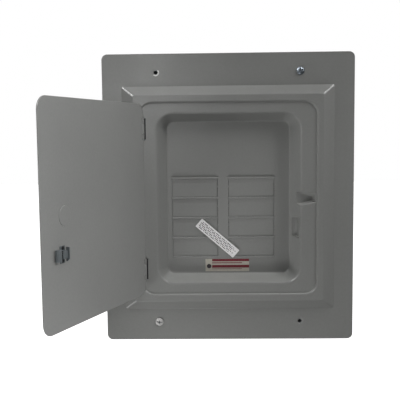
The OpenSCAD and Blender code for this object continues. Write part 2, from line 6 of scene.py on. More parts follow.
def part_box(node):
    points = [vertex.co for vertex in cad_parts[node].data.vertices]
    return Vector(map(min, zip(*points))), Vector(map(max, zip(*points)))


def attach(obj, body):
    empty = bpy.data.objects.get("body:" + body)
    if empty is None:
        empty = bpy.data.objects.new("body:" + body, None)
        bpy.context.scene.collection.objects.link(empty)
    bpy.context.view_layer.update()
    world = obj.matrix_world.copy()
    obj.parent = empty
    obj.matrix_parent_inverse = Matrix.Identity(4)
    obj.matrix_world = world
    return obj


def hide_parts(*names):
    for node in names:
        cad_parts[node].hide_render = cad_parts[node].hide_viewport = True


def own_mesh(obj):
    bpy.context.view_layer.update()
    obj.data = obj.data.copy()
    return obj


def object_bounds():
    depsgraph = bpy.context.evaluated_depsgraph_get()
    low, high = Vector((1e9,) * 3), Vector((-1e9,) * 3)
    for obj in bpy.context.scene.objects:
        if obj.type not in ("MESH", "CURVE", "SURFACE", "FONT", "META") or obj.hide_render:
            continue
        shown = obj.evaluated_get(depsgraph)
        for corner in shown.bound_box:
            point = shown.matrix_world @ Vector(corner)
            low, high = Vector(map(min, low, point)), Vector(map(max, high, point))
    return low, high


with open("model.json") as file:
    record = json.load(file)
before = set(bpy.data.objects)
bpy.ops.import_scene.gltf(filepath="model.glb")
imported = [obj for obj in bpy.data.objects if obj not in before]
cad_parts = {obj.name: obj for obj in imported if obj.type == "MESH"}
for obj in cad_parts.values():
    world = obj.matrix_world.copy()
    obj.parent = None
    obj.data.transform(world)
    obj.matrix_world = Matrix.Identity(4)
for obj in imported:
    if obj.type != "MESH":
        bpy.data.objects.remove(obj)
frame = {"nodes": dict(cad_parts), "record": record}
cad_low, cad_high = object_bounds()
scene = bpy.context.scene
record = frame["record"]
joints = {j["name"]: j for j in record["behaviour"]["joints"]}
MM = 0.001

# Shapes are worked out in millimetres, X right, Y into the wall and Z up. Pieces of the door and its latch
# are made flat, in (u, v, z): u out from the hinge axis, v behind the middle of the door's sheet.
# A name that ends in _D is a depth behind the front face of the cover's flange.


def node_box(node):
    """lowest and highest corner of a CAD node at rest, in millimetres"""
    return [[round(c / MM, 3) for c in corner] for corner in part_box(node)]


def node_size(node, axis):
    low, high = node_box(node)
    return round(high[axis] - low[axis], 3)


def node_middle(node, axis):
    low, high = node_box(node)
    return round((low[axis] + high[axis]) / 2, 3)


X, Y, Z = 0, 1, 2
SHEET = 1.2                                              # painted sheet steel
FRONT = node_box("box_wrapper")[0][Y] - SHEET            # front face of the cover's flange

# outlines as (width, height, corner radius): the cover, the foot of its bezel, the door's seat, the pan's rim
COVER = (node_size("cover_trim", X), node_size("cover_trim", Z), 7)
BEZEL = (264.6, 281, 2.4)
SEAT = (219.6, 240, 16)
PAN = (178, 212.6, 20)
PLATEAU_D, SEAT_D, PAN_D = -9.0, -6.5, 12.9              # front faces of bezel, seat and pan floor
BEVEL = 14.5                                             # width of the bezel's bevel down its sides
PAN_SLOPE = 11.0                                         # lean of the pan's side walls, rim to floor

# twist-outs, in two columns
ROWS = 4
PITCH = round(node_middle("twistout_left_1", Z) - node_middle("twistout_left_2", Z), 3)
ARRAY_TOP = round(node_middle("twistout_left_1", Z) + PITCH / 2, 3)
COLUMNS = {side: node_middle("twistout_%s_1" % side, X) for side in ("left", "right")}
BLANK_W = node_size("twistout_left_1", X)
BLANK_H = PITCH - 2.2                                    # less the web between two rows

SCREW_X, SCREW_Z = 89.5, 157.5                           # cover screws, from the cover's middle
HINGE = [c / MM for c in joints["door_hinge"]["pos_m"]]
OPEN = radians(-joints["door_hinge"]["range_deg"][1])    # the door's turn from closed to rest
HINGE_Z = node_middle("upper_hinge_leaf", Z)
HINGE_LEN = node_size("upper_hinge_leaf", Z)
KNUCKLE_LEN, KNUCKLE_R = 12.0, 1.9                       # the door's own knuckle
DOOR = (213.9, node_size("door_panel", Z), 14.0)         # width, height, corner radius
INNER = SHEET / 2                                        # v of the door's inner face
LOCK_U, LOCK_Z = 173.0, node_middle("lock_knockout", Z)
LOCK_HOLE = 21.0                                         # diameter of the lock's hole
LATCH_Z = node_middle("latch_housing", Z)


# ---------------------------------------------------------------- camera
def add_camera():
    cam = bpy.data.objects.new("camera", bpy.data.cameras.new("camera"))
    scene.collection.objects.link(cam)
    cam.data.sensor_width = 36
    cam.data.lens = 61.29
    cam.data.clip_start, cam.data.clip_end = 0.01, 50
    turn = (Matrix.Rotation(radians(1.272), 4, "Z") @ Matrix.Rotation(radians(-5.123), 4, "X")
            @ Matrix.Rotation(radians(0.625), 4, "Y"))
    cam.matrix_world = (Matrix.Translation((-0.0171, -0.9494, 0.0750)) @ turn
                        @ Matrix.Rotation(radians(90), 4, "X"))
    scene.camera = cam


add_camera()


# ---------------------------------------------------------------- shader helpers
def new_material(name):
    mat = bpy.data.materials.new(name)
    mat.use_nodes = True
    tree = mat.node_tree
    return mat, tree, tree.nodes["Principled BSDF"]


def coords(tree, stretch=(1, 1, 1)):
    tex = tree.nodes.new("ShaderNodeTexCoord")
    mapping = tree.nodes.new("ShaderNodeMapping")
    mapping.inputs["Scale"].default_value = stretch
    tree.links.new(tex.outputs["Object"], mapping.inputs["Vector"])
    return mapping.outputs["Vector"]


def noise(tree, vector, scale, detail=3.0):
    node = tree.nodes.new("ShaderNodeTexNoise")
    node.inputs["Scale"].default_value = scale
    node.inputs["Detail"].default_value = detail
    node.inputs["Roughness"].default_value = 0.55
    tree.links.new(vector, node.inputs["Vector"])
    return node.outputs["Fac"]


def ramp(tree, source, stops):
    node = tree.nodes.new("ShaderNodeValToRGB")
    for end, (pos, colour) in zip(node.color_ramp.elements, stops):
        end.position = pos
        end.color = (*colour, 1)
    tree.links.new(source, node.inputs["Fac"])
    return node.outputs["Color"]


def span(tree, source, low, high, to_low, to_high):
    """source, stretched from low..high to to_low..to_high"""
    node = tree.nodes.new("ShaderNodeMapRange")
    for key, value in zip(("From Min", "From Max", "To Min", "To Max"), (low, high, to_low, to_high)):
        node.inputs[key].default_value = value
    tree.links.new(source, node.inputs["Value"])
    return node.outputs["Result"]


def mixed(tree, factor, first, second, mode="MIX"):
    """two colours mixed; each input is a socket, a colour or a number"""
    node = tree.nodes.new("ShaderNodeMix")
    node.data_type = "RGBA"
    node.blend_type = mode
    for key, value in (("Factor", factor), ("A", first), ("B", second)):
        socket = next(s for s in node.inputs if s.name == key and (s.type == "RGBA" or key == "Factor"))
        if isinstance(value, (int, float)):
            socket.default_value = value
        elif isinstance(value, tuple):
            socket.default_value = (*value, 1)
        else:
            tree.links.new(value, socket)
    return next(o for o in node.outputs if o.type == "RGBA")


def bump(tree, bsdf, height, strength, distance):
    node = tree.nodes.new("ShaderNodeBump")
    node.inputs["Strength"].default_value = strength
    node.inputs["Distance"].default_value = distance
    tree.links.new(height, node.inputs["Height"])
    tree.links.new(node.outputs["Normal"], bsdf.inputs["Normal"])


def shade(base, factor):
    return tuple(min(1, c * factor) for c in base)


def clouded(tree, source, base, low, high, dark, light):
    """base, darker where source is low and lighter where it is high"""
    return ramp(tree, source, [(low, shade(base, dark)), (high, shade(base, light))])


def roughened(tree, bsdf, source, rough):
    tree.links.new(span(tree, source, 0.3, 0.7, *rough), bsdf.inputs["Roughness"])


# ---------------------------------------------------------------- materials
def paint_material(name, base, rough=(0.32, 0.40)):
    """satin powder coat: slow tone drift, orange peel, and upward faces painted lighter in patches, as
    painted light from above
    """
    mat, tree, bsdf = new_material(name)
    at = coords(tree)
    drift = clouded(tree, noise(tree, at, 9, 4), base, 0.3, 0.7, 0.965, 1.035)
    fine = clouded(tree, noise(tree, at, 420, 2), (1, 1, 1), 0.25, 0.75, 0.94, 1)
    tone = mixed(tree, 1.0, drift, fine, "MULTIPLY")
    # painted light: faces whose normal points up get their colour raised up to 1.45 times, in patches,
    # standing in for light from above
    up = tree.nodes.new("ShaderNodeSeparateXYZ")
    tree.links.new(tree.nodes.new("ShaderNodeTexCoord").outputs["Normal"], up.inputs["Vector"])
    uplight_mask = span(tree, up.outputs["Z"], 0.5, 0.9, 0, 1)
    uplight_patches = span(tree, noise(tree, at, 90, 3), 0.25, 0.65, 0.82, 1)
    painted_uplight = tree.nodes.new("ShaderNodeMath")
    painted_uplight.operation = "MULTIPLY"
    tree.links.new(uplight_mask, painted_uplight.inputs[0])
    tree.links.new(uplight_patches, painted_uplight.inputs[1])
    tone = mixed(tree, painted_uplight.outputs["Value"], tone, shade(base, 1.45))
    tree.links.new(tone, bsdf.inputs["Base Color"])
    roughened(tree, bsdf, noise(tree, at, 60, 3), rough)
    bump(tree, bsdf, noise(tree, at, 700, 2), 0.08, 0.0002)
    return mat


def metal_material(name, base, rough=(0.28, 0.44), metallic=1.0, stretch=(1, 1, 1), grain=260, spangle=False):
    """plated or galvanised steel: cloudy tone, with fine rolling lines or spangle"""
    mat, tree, bsdf = new_material(name)
    at = coords(tree, stretch)
    tone = clouded(tree, noise(tree, at, 55, 5), base, 0.3, 0.75, 0.8, 1.12)
    if spangle:
        cells = tree.nodes.new("ShaderNodeTexVoronoi")
        cells.inputs["Scale"].default_value = 170
        tree.links.new(at, cells.inputs["Vector"])
        grey = tree.nodes.new("ShaderNodeRGBToBW")
        tree.links.new(cells.outputs["Color"], grey.inputs["Color"])
        flake = clouded(tree, grey.outputs["Val"], (1, 1, 1), 0.2, 0.8, 0.82, 1)
        tone = mixed(tree, 0.85, tone, flake, "MULTIPLY")
    tree.links.new(tone, bsdf.inputs["Base Color"])
    bsdf.inputs["Metallic"].default_value = metallic
    roughened(tree, bsdf, noise(tree, at, grain, 3), rough)
    bump(tree, bsdf, noise(tree, at, grain * 3, 2), 0.12, 0.00006)
    return mat


def moulded_material(name, base, rough=(0.45, 0.62)):
    """moulded plastic or dye: faint mottle and a fine grain"""
    mat, tree, bsdf = new_material(name)
    at = coords(tree)
    tone = clouded(tree, noise(tree, at, 120, 4), base, 0.3, 0.7, 0.85, 1.15)
    tree.links.new(tone, bsdf.inputs["Base Color"])
    roughened(tree, bsdf, noise(tree, at, 300, 3), rough)
    bump(tree, bsdf, noise(tree, at, 1500, 2), 0.2, 0.00008)
    return mat


def printed_material(name, base, fibre, rough):
    """printed paper or vinyl: faint mottle and fibre"""
    mat, tree, bsdf = new_material(name)
    at = coords(tree)
    tone = clouded(tree, noise(tree, at, 500, 4), base, 0.3, 0.7, 1 - fibre, 1 + fibre)
    tree.links.new(tone, bsdf.inputs["Base Color"])
    bsdf.inputs["Roughness"].default_value = rough
    bump(tree, bsdf, noise(tree, at, 900, 3), 0.15, 0.00005)
    return mat


PAINT = paint_material("grey_powder_coat", (0.255, 0.258, 0.249))
# painted light: the door takes the cover's grey made lighter, standing in for the extra light its inner face
# catches
LIT_DOOR_PAINT = paint_material("grey_powder_coat_lit_door", (0.290, 0.293, 0.285))
# painted highlight: a light paint for the crescent that catches light in the open upper hole's dimple
CRESCENT_HIGHLIGHT = paint_material("painted_crescent_highlight", (0.86, 0.85, 0.82), (0.45, 0.6))
ZINC = metal_material("zinc_plate", (0.62, 0.64, 0.66))
# painted shade: a darkened copy of the zinc plate for the latch, standing in for the shade it sits in
SHADED_ZINC = metal_material("shaded_zinc", (0.17, 0.19, 0.20), (0.38, 0.55), 0.45)
DULL = metal_material("dull_fastener", (0.20, 0.225, 0.25), (0.38, 0.52))
CHALKY = metal_material("chalky_fastener", (0.62, 0.615, 0.60), (0.5, 0.6), 0.15)
# near black: the latch's rivets, and, as painted shade, the hinge straps where they show through the cover's
# slots
NEAR_BLACK = metal_material("near_black_steel", (0.05, 0.05, 0.052), (0.4, 0.55))
GALVANISED = metal_material("galvanised", (0.36, 0.375, 0.39), (0.5, 0.6), 0.3, grain=120, spangle=True)
TIN = metal_material("tin_plate", (0.66, 0.66, 0.64), (0.25, 0.4), stretch=(1, 1, 0.08))
ALLOY = metal_material("alloy", (0.7, 0.71, 0.72), (0.3, 0.42), stretch=(1, 1, 0.06))
SPRING = metal_material("spring_wire", (0.45, 0.45, 0.46), (0.22, 0.34))
BLACK = moulded_material("black_moulding", (0.03, 0.03, 0.032))
WHITE = moulded_material("white_moulding", (0.75, 0.75, 0.72))
GREEN = moulded_material("green_dye", (0.04, 0.25, 0.08), (0.25, 0.35))
LABEL_BASE = printed_material("label_cream", (0.50, 0.475, 0.41), 0.08, 0.45)
LABEL_RED = printed_material("label_red", (0.175, 0.016, 0.027), 0.1, 0.4)
LABEL_INK = printed_material("label_ink", (0.03, 0.022, 0.03), 0.1, 0.5)
LABEL_RULE = printed_material("label_rule", (0.26, 0.13, 0.12), 0.08, 0.5)
PAPER = printed_material("sticker_paper", (0.86, 0.85, 0.85), 0.05, 0.7)
PAPER_INK = printed_material("sticker_ink", (0.07, 0.068, 0.072), 0.08, 0.7)


# ---------------------------------------------------------------- mesh helpers
def door_place(p):
    """a point of the flat door, (u, v, z), where it stands at rest"""
    u, v, z = p
    return (HINGE[X] + u * cos(OPEN) - v * sin(OPEN), HINGE[Y] + u * sin(OPEN) + v * cos(OPEN), z)


def depth(d):
    """y of a plane "d" behind the front of the flange"""
    return FRONT + d


def plain_object(name, verts, faces, place=None):
    if place:
        verts = [place(v) for v in verts]
    mesh = bpy.data.meshes.new(name)
    mesh.from_pydata([Vector(v) * MM for v in verts], [], faces)
    bm = bmesh.new()
    bm.from_mesh(mesh)
    bmesh.ops.remove_doubles(bm, verts=bm.verts, dist=1e-7)
    bmesh.ops.recalc_face_normals(bm, faces=bm.faces)
    bm.to_mesh(mesh)
    bm.free()
    ob = bpy.data.objects.new(name, mesh)
    scene.collection.objects.link(ob)
    return ob


def merge(*parts):
    """several (verts, faces) as one"""
    verts, faces = [], []
    for v, f in parts:
        faces += [[i + len(verts) for i in face] for face in f]
        verts += list(v)
    return verts, faces


def block(x0, x1, y0, y1, z0, z1):
    v = [(x, y, z) for x in (x0, x1) for y in (y0, y1) for z in (z0, z1)]
    return v, [(0, 1, 3, 2), (4, 6, 7, 5), (0, 4, 5, 1), (2, 3, 7, 6), (0, 2, 6, 4), (1, 5, 7, 3)]


def loft(rings, closed=False):
    """quads between rings of equal length; the last ring meets the first, or both have flat caps"""
    n = len(rings[0])
    verts = [p for ring in rings for p in ring]
    faces = []
    pairs = list(zip(range(len(rings) - 1), range(1, len(rings))))
    if closed:
        pairs.append((len(rings) - 1, 0))
    for a, b in pairs:
        for i in range(n):
            j = (i + 1) % n
            faces.append((a * n + i, a * n + j, b * n + j, b * n + i))
    if not closed:
        faces.append(tuple(range(n)))
        faces.append(tuple((len(rings) - 1) * n + i for i in reversed(range(n))))
    return verts, faces


def outline(w, h, r, n):
    """points of a rounded rectangle round the origin, with n steps in each corner"""
    points = []
    for sx, sz, start in ((1, 1, 0), (-1, 1, 90), (-1, -1, 180), (1, -1, 270)):
        for k in range(n + 1):
            a = radians(start + 90 * k / n)
            points.append((sx * (w / 2 - r) + r * cos(a), sz * (h / 2 - r) + r * sin(a)))
    return points


def rounded_rim(edge, t, steps):
    """(inset, depth) round the rim of a sheet of thickness t, from its front to its back"""
    turns = [pi / 2 * k / steps for k in range(steps + 1)]
    return ([(edge * (1 - sin(a)), edge * (1 - cos(a))) for a in turns]
            + [(edge * (1 - cos(a)), t - edge * (1 - sin(a))) for a in turns])


def plate(w, h, r, t, edge, n, steps):
    """a flat sheet in the XZ plane from y = 0 to y = t, with rounded edges"""
    return loft([[(x, y, z) for x, z in outline(w - 2 * o, h - 2 * o, r - o, n)]
                 for o, y in rounded_rim(edge, t, steps)])


def window(w, h, r, t=6, n=4):
    """a plate thick enough to cut right through a sheet"""
    return plate(w, h, r, t, 0.01, n, 1)


def moved(part, dx=0, dy=0, dz=0, turn=0):
    """shifts a part, after turning it in the XZ plane by "turn" degrees"""
    c, s = cos(radians(turn)), sin(radians(turn))
    return [(x * c - z * s + dx, y + dy, x * s + z * c + dz) for x, y, z in part[0]], part[1]


TURNED = {
    "-Y": lambda c, s, h: (c, -h, s),
    "Y": lambda c, s, h: (c, h, s),
    "X": lambda c, s, h: (h, c, s),
    "Z": lambda c, s, h: (c, s, h),
}


def lathe(profile, at, axis="-Y", n=32, closed=False):
    """turns (radius, length) points about an axis through "at"; a closed profile makes a tube"""
    rings = []
    for r, h in profile:
        ring = []
        for k in range(n):
            a = 2 * pi * k / n
            ring.append(tuple(p + q for p, q in zip(at, TURNED[axis](r * cos(a), r * sin(a), h))))
        rings.append(ring)
    return loft(rings, closed)


def knuckle(r_in, length, at):
    """a hinge knuckle: a tube standing on "at", with chamfered ends"""
    r, chamfer = KNUCKLE_R, 0.2
    profile = [(r_in, 0), (r - chamfer, 0), (r, chamfer), (r, length - chamfer), (r - chamfer, length),
               (r_in, length)]
    return lathe(profile, at, "Z", 28, closed=True)


def bends(points, radii, t, steps):
    """front and back lines of a bent sheet of thickness t

    The sheet's front face follows "points", given as (inward, depth). At each inner point it is bent to
    the radius that "radii" gives for the middle of the sheet."""
    legs = []
    for (a, b), (c, d) in zip(points, points[1:]):
        size = hypot(c - a, d - b)
        legs.append(((c - a) / size, (d - b) / size))
    normals = [(dy, -dx) for dx, dy in legs]
    mids = [(points[0][0] - normals[0][0] * t / 2, points[0][1] - normals[0][1] * t / 2, normals[0])]
    for i, radius in enumerate(radii):
        (n1x, n1y), (n2x, n2y) = normals[i], normals[i + 1]
        px, py = points[i + 1]
        turn = atan2(legs[i][0] * legs[i + 1][1] - legs[i][1] * legs[i + 1][0],
                     legs[i][0] * legs[i + 1][0] + legs[i][1] * legs[i + 1][1])
        half = abs(turn) / 2
        bx, by = n1x + n2x, n1y + n2y
        size = hypot(bx, by)
        bx, by = bx / size, by / size
        vx, vy = px - bx * t / 2 / cos(half), py - by * t / 2 / cos(half)
        side = 1 if turn > 0 else -1
        cx, cy = vx - side * bx * radius / cos(half), vy - side * by * radius / cos(half)
        start = atan2(n1y, n1x)
        for k in range(steps + 1):
            a = start + turn * k / steps
            nx, ny = cos(a), sin(a)
            mids.append((cx + side * radius * nx, cy + side * radius * ny, (nx, ny)))
    mids.append((points[-1][0] - normals[-1][0] * t / 2, points[-1][1] - normals[-1][1] * t / 2, normals[-1]))
    front = [(x + n[0] * t / 2, y + n[1] * t / 2) for x, y, n in mids]
    back = [(x - n[0] * t / 2, y - n[1] * t / 2) for x, y, n in mids]
    return front, back


def solve(ob, others, mode):
    """boolean with each of the others, which are then removed"""
    for other in others:
        mod = ob.modifiers.new("solve", "BOOLEAN")
        mod.operation = mode
        mod.solver = "EXACT"
        mod.object = other
    bpy.context.view_layer.update()
    made = bpy.data.meshes.new_from_object(ob.evaluated_get(bpy.context.evaluated_depsgraph_get()))
    ob.modifiers.clear()
    ob.data = made
    for other in others:
        bpy.data.objects.remove(other)
    return ob


def bevel(ob, width, limit):
    mod = ob.modifiers.new("edge", "BEVEL")
    mod.width = width * MM
    mod.segments = 2
    mod.limit_method = "ANGLE"
    mod.angle_limit = radians(limit)
    return mod


def finish_piece(ob, mats, body, stands, slot, soft=35, edge=0.0, limit=40):
    """materials, an edge radius, smooth shading below "soft" degrees, and the piece's place in the frame"""
    for mat in mats:
        ob.data.materials.append(mat)
    if edge:
        bevel(ob, edge, limit).miter_outer = "MITER_ARC"
    flats = ob.modifiers.new("flats", "WEIGHTED_NORMAL")
    flats.keep_sharp = True
    for polygon in ob.data.polygons:
        polygon.use_smooth = True
    ob.data.set_sharp_from_angle(angle=radians(soft))
    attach(ob, body)
    if stands:
        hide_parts(*stands)
    return ob


def piece(name, part, mats, body, stands, slot, place=None, **keys):
    return finish_piece(plain_object(name, *part, place=place), mats, body, stands, slot, **keys)


# ---------------------------------------------------------------- trim cover
def pan_wall_x(d):
    """half width of the pan at depth d"""
    return PAN[0] / 2 - PAN_SLOPE * (d - SEAT_D) / (PAN_D - SEAT_D)


def cover_ring(base, inset, d, mitred=False, tall=1.0):
    """the outline "base" drawn in by the inset; "tall" scales the inset at its ends, and a mitred outline
    keeps its corner radius"""
    w, h, r = base
    return [(x, depth(d), z)
            for x, z in outline(w - 2 * inset, h - 2 * inset * tall, r if mitred else r - inset, 10)]


def cover_rings():
    """the cover's sheet as rings: out along its front from the pan's floor, round its rim and back behind"""
    bezel = [(-3, 0), (0, 0), (BEVEL, PLATEAU_D), (BEVEL + 2.6, PLATEAU_D)]
    seat = [(-2.6, PLATEAU_D), (-0.95, PLATEAU_D), (0.55, SEAT_D), (3, SEAT_D)]
    pan = [(-4, SEAT_D), (0, SEAT_D), (PAN_SLOPE, PAN_D), (15, PAN_D)]
    front, back = [], []
    for base, mitred, tall, path, radii, steps in (
            (BEZEL, True, 0.81, bezel, [2.4, 2.2], 4),
            (SEAT, False, 1, seat, [1.2, 1.1], 4),
            (PAN, False, 0.86, pan, [3.2, 3.0], 6)):
        near, far = bends(path, radii, SHEET, steps)
        front += [cover_ring(base, inset, d, mitred, tall) for inset, d in near]
        back += [cover_ring(base, inset, d, mitred, tall) for inset, d in far]
    rim = [cover_ring(COVER, inset, d) for inset, d in rounded_rim(0.45, SHEET, 3)]
    return front[::-1] + rim + back


def pressing(shape, steps):
    """a closed solid through the outlines shape(depth, inset) at each (depth, inset) step"""
    return loft([[(x, depth(d), z) for x, z in shape(d, q)] for d, q in steps])


def recess_start(d, grow):
    """x where a recess in the pan's wall starts: in the sheet for added metal, in the hollow for a cut"""
    return pan_wall_x(d) + (0.6 if grow else -3)


def lock_pocket(grow, steps):
    """the wedge-shaped recess for a lock's cam: its sheet for grow = SHEET, its hollow for 0"""
    def shape(d, q):
        start, low = recess_start(d, grow), -8.5 - grow + 2.2 * q
        return [(start, low), (91.5, low), (107.5 + grow - 2 * q, -4.5 - grow + 2.0 * q),
                (107.5 + grow - 3 * q, 5 + grow - 3.4 * q), (start, 10 + grow - 0.8 * q)]
    return pressing(shape, steps)


def strike(grow, steps):
    """the pressed recess in the pan's wall that takes the bolt's nose, with grow as for lock_pocket"""
    def shape(d, q):
        start, end, spread = recess_start(d, grow), 88.5 + grow - 1.1 * q, grow - q
        return [(start, -51 - spread), (end, -50 - spread), (end, -24 + spread), (start, -23 + spread)]
    return pressing(shape, steps)


def lip(cx, grow):
    """the sloping lip above a column's first row, with grow as for lock_pocket"""
    foot, crest = 25.9 - grow * 0.9, 33.4 + grow
    shallow, deep = -0.05 + grow * 0.5, 2.6 + grow
    rings = []
    for side, out, k in ((-1, 1.2, 0.25), (-1, -2.6, 1), (1, -2.6, 1), (1, 1.2, 0.25)):
        x = cx + side * (BLANK_W / 2 + out + grow)
        rings.append([(x, depth(PAN_D + shallow), foot + (crest - foot) * (0.35 + 0.65 * k)),
                      (x, depth(PAN_D + deep * k), foot), (x, depth(PAN_D + shallow), foot)])
    return loft(rings)


def row_middle(i):
    return ARRAY_TOP - PITCH * (i + 0.5)


def cover_windows():
    """every opening that goes right through the cover's sheet"""
    cuts = []
    for cx in COLUMNS.values():
        for i in range(ROWS):
            cuts.append(moved(window(BLANK_W, BLANK_H, 0.8, n=3), cx, depth(PAN_D) - 3, row_middle(i)))
    hinge_slot = window(6.4, HINGE_LEN + 2, 1.2, t=8)
    for end in (-1, 1):
        cuts.append(moved(hinge_slot, HINGE[X] + 0.2, depth(SEAT_D) - 3, end * HINGE_Z))
    # screw holes, each in a shallow dimple
    hole = [(2.75, -3), (2.75, -0.75), (3.1, -0.5), (4.4, -0.45), (5.4, 0.02), (5.4, 2)]
    for side in (-1, 1):
        for end in (-1, 1):
            cuts.append(lathe(hole, (side * SCREW_X, FRONT, end * SCREW_Z)))
    return merge(*cuts)


def paint_crescent_highlight(ob):
    """painted highlight: a light crescent on the lower right of the open upper hole's dimple, where light
    catches it
    """
    for face in ob.data.polygons:
        x, y, z = face.center / MM
        x, z = x + SCREW_X, z - SCREW_Z
        in_dimple = hypot(x, z) < 4.5 and FRONT + 0.03 < y < FRONT + 0.9
        if in_dimple and -130 < degrees(atan2(z, x)) < 40:
            face.material_index = 1


def make_cover():
    ob = plain_object("cover_sheet", *loft(cover_rings()))
    adds = [lock_pocket(SHEET, [(SEAT_D + 0.3, 0), (1.2, 0.8), (1.8, 1.1)]),
            strike(SHEET, [(SEAT_D + 0.3, 0), (2, 0.6), (8.4, 1.8), (10.4, 3)])]
    adds += [lip(cx, SHEET) for cx in COLUMNS.values()]
    solve(ob, [plain_object("add", *part) for part in adds], "UNION")
    cuts = [lock_pocket(0, [(SEAT_D - 2, -0.45), (SEAT_D - 0.05, -0.4), (SEAT_D + 0.3, -0.2),
                            (SEAT_D + 1.2, 0), (-0.4, 0.8), (0.4, 1.1), (0.6, 1.4)]),
            strike(0, [(-4.9, -0.3), (-3.5, 0), (2, 0.6), (7, 1.6), (8.6, 2.4), (9.0, 3.4)])]
    cuts += [lip(cx, 0) for cx in COLUMNS.values()]
    cuts.append(cover_windows())
    solve(ob, [plain_object("cut", *part) for part in cuts], "DIFFERENCE")
    bm = bmesh.new()
    bm.from_mesh(ob.data)
    bmesh.ops.remove_doubles(bm, verts=bm.verts, dist=2e-6)
    bmesh.ops.dissolve_degenerate(bm, dist=2e-6, edges=bm.edges)
    bm.to_mesh(ob.data)
    bm.free()
    finish_piece(ob, [PAINT, CRESCENT_HIGHLIGHT], "enclosure", ["cover_trim"], "painted_steel", soft=28, edge=0.22,
                 limit=48)
    paint_crescent_highlight(ob)


def bead(cx, z):
    """a rounded bead across a column, between two rows of twist-outs"""
    half, rise, proud, sunk = BLANK_W / 2 + 1.2, 1.3, 0.5, 0.15
    rings = []
    for x, k in ((-half, 0.12), (-half + 0.8, 0.7), (-half + 2, 1), (half - 2, 1), (half - 0.8, 0.7),
                 (half, 0.12)):
        turns = [pi * i / 8 for i in range(9)]
        ring = [(cx + x, depth(PAN_D) + sunk - (sunk + proud) * k * sin(a), z + rise * cos(a)) for a in turns]
        ring += [(cx + x, depth(PAN_D) + 0.9, z - rise * 0.8), (cx + x, depth(PAN_D) + 0.9, z + rise * 0.8)]
        rings.append(ring)
    return loft(rings)


def make_beads():
    beads = [bead(cx, ARRAY_TOP - PITCH * i) for cx in COLUMNS.values() for i in range(ROWS + 1)]
    piece("cover_beads", merge(*beads), [PAINT], "enclosure", [], "painted_steel", soft=50)


def make_twistout(name, cx, cz):
    """a twist-out: a plate set back, whose upper part leans forward to the bead above it"""
    w, h = BLANK_W - 0.3, BLANK_H - 0.3
    face = depth(PAN_D + 0.35)
    side = [(-h / 2, 0.85), (-h / 2 + 0.3, 0.62), (h / 2 - 5.4, 0.6), (h / 2 - 4.4, 0.5), (h / 2 - 0.6, -0.2),
            (h / 2, 0.05)]
    rings = []
    for x, drop in ((-w / 2, 0.35), (-w / 2 + 0.35, 0), (w / 2 - 0.35, 0), (w / 2, 0.35)):
        front = [(cx + x, face + d + drop, cz + z) for z, d in side]
        back = [(cx + x, face + d + SHEET - drop * 0.6, cz + z) for z, d in reversed(side)]
        rings.append(front + back)
    piece(name + "_blank", loft(rings), [PAINT], "enclosure", [name], "painted_steel", soft=24)


make_cover()
make_beads()
for side, column in COLUMNS.items():
    for row in range(ROWS):
        make_twistout("twistout_%s_%d" % (side, row + 1), column, row_middle(row))


# ---------------------------------------------------------------- labels
def printed_sheet(name, xs, zs, t, place, ink, mats, node, slot):
    """a thin sheet facing -Y, cut in cells; ink(column, row) gives each front cell's material"""
    n, m = len(xs), len(zs)
    verts = [place(x, y, z) for y in (0, t) for z in zs for x in xs]
    faces, inks = [], []
    for j in range(m - 1):
        for i in range(n - 1):
            a = j * n + i
            b = a + n * m
            faces += [(a, a + 1, a + n + 1, a + n), (b, b + n, b + n + 1, b + 1)]
            inks += [ink(i, j), 0]
    rim = (list(range(n)) + [n * j + n - 1 for j in range(1, m)]
           + [n * (m - 1) + i for i in reversed(range(n - 1))] + [n * j for j in reversed(range(1, m - 1))])
    for a, b in zip(rim, rim[1:] + rim[:1]):
        faces.append((a, b, b + n * m, a + n * m))
        inks.append(0)
    ob = plain_object(name, verts, faces)
    for polygon, index in zip(ob.data.polygons, inks):
        polygon.material_index = index
    finish_piece(ob, mats, "enclosure", [node], slot)


def make_caution_label():
    """cream label with two red bands, thin rules between them and a dark disc, all without lettering"""
    cx, cz, face = node_middle("caution_label", X), node_middle("caution_label", Z) - 0.4, depth(PAN_D) - 0.2
    xs = [-28, -19.5, 19, 28]
    zs = [-8, -5.2, -4.4, -3.4, 0.2, 2.2, 3.8, 4.9, 8]
    bands, rules = (3, 7), (1, 5)

    def ink(column, row):
        if row in bands:
            return 1 if column > 0 else 0
        return 2 if row in rules and column == 1 else 0

    printed_sheet("banded_label", xs, zs, 0.18, lambda x, y, z: (x + cx, face + y, z + cz), ink,
                  [LABEL_BASE, LABEL_RED, LABEL_RULE], "caution_label", "label_red")
    disc = lathe([(0.01, 0), (2.5, 0), (2.9, 0.02), (2.9, 0.04), (0.01, 0.04)],
                 (cx - 23.4, face + 0.01, cz - 1.2))
    piece("label_disc", disc, [LABEL_INK], "enclosure", [], "label_red")


def make_sticker():
    """a white strip, stuck on askew, with curling ends and broken ruled lines"""
    cx, cz, face = node_middle("loose_sticker", X), node_middle("loose_sticker", Z), depth(PAN_D) - 0.68
    w, n, tilt = 63.0, 46, radians(-41)
    c, s = cos(tilt), sin(tilt)
    xs = [-w / 2 + w * i / n for i in range(n + 1)]
    zs = [-6.5, -4.6, -3.7, -2.6, -1.7, -0.6, 0.3, 1.4, 2.3, 3.4, 4.3, 6.5]

    def place(x, y, z):
        past_flat = max(0, abs(x) / (w / 2) - 0.7)
        lift = 0.012 + 0.9375 * past_flat ** 1.5
        return (cx + x * c - z * s, face - lift + y, cz + x * s + z * c)

    def ink(column, row):
        # every second row is a ruled line, with gaps and an uneven end
        line_end = n - 2 - (row * 5) % 7
        return 1 if row % 2 and 2 <= column < line_end and (column * 3 + row) % 7 > 1 else 0

    printed_sheet("strip_sticker", xs, zs, 0.14, place, ink, [PAPER, PAPER_INK], "loose_sticker",
                  "sticker_white")


make_caution_label()
make_sticker()


